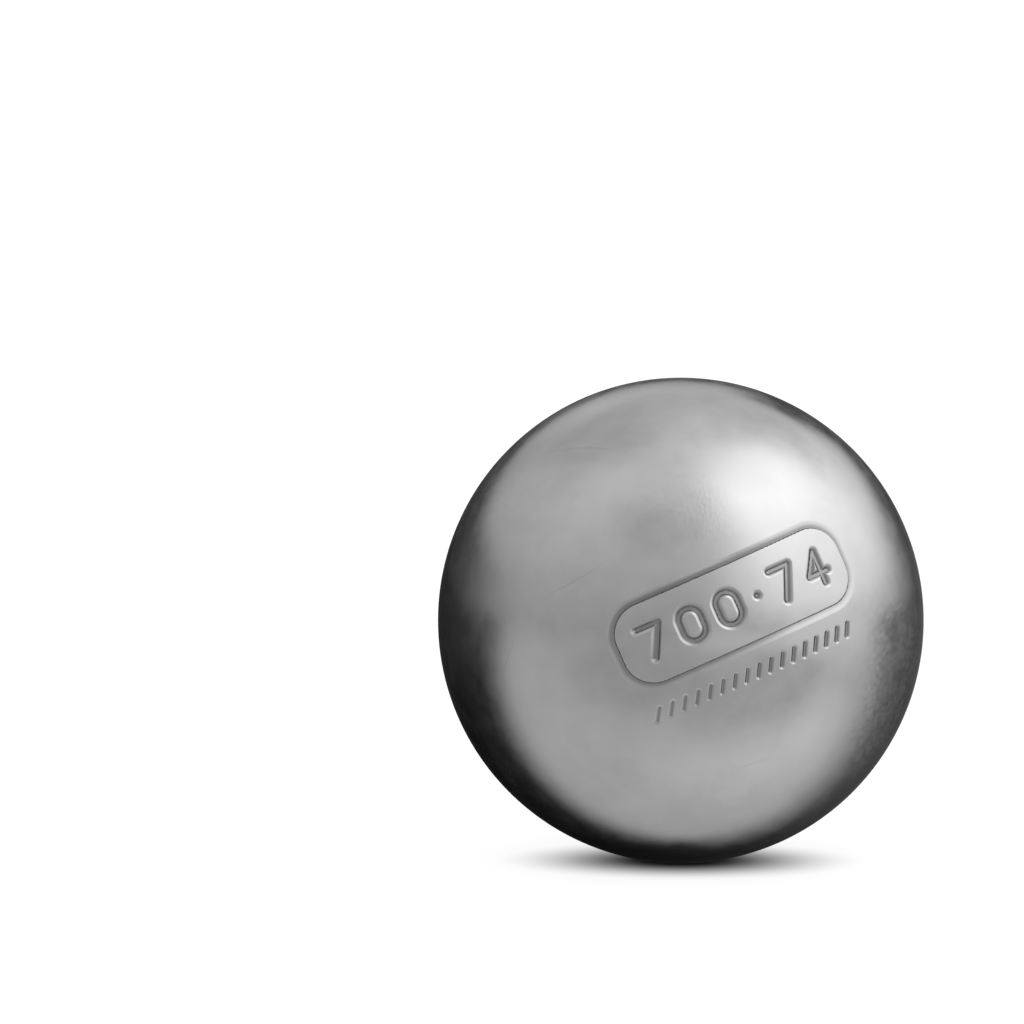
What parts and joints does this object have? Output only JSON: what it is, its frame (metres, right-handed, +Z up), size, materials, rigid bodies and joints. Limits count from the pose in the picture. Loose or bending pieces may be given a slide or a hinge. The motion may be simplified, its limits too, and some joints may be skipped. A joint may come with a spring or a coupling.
{
  "type": "petanque boule",
  "caption": "Hollow steel ball for petanque, welded from matching half-shells, with a stamped frame on one side.",
  "frame": {"origin": "the ball's centre", "axes": "+Y along the common axis of the half-shells, from the stamped shell to the plain one; +Z up as the ball lies; +X to the right, seen from the stamped side"},
  "size_m": [0.074, 0.074, 0.074],
  "materials": {
    "shell_steel": "satin ground and lightly tumbled steel",
    "weld_steel": "weld metal turned flush and ground with the shells"
  },
  "bodies": {
    "root": {"front_half_shell": "shell_steel", "rear_half_shell": "shell_steel", "weld_bead": "weld_steel"}
  },
  "joints": []
}
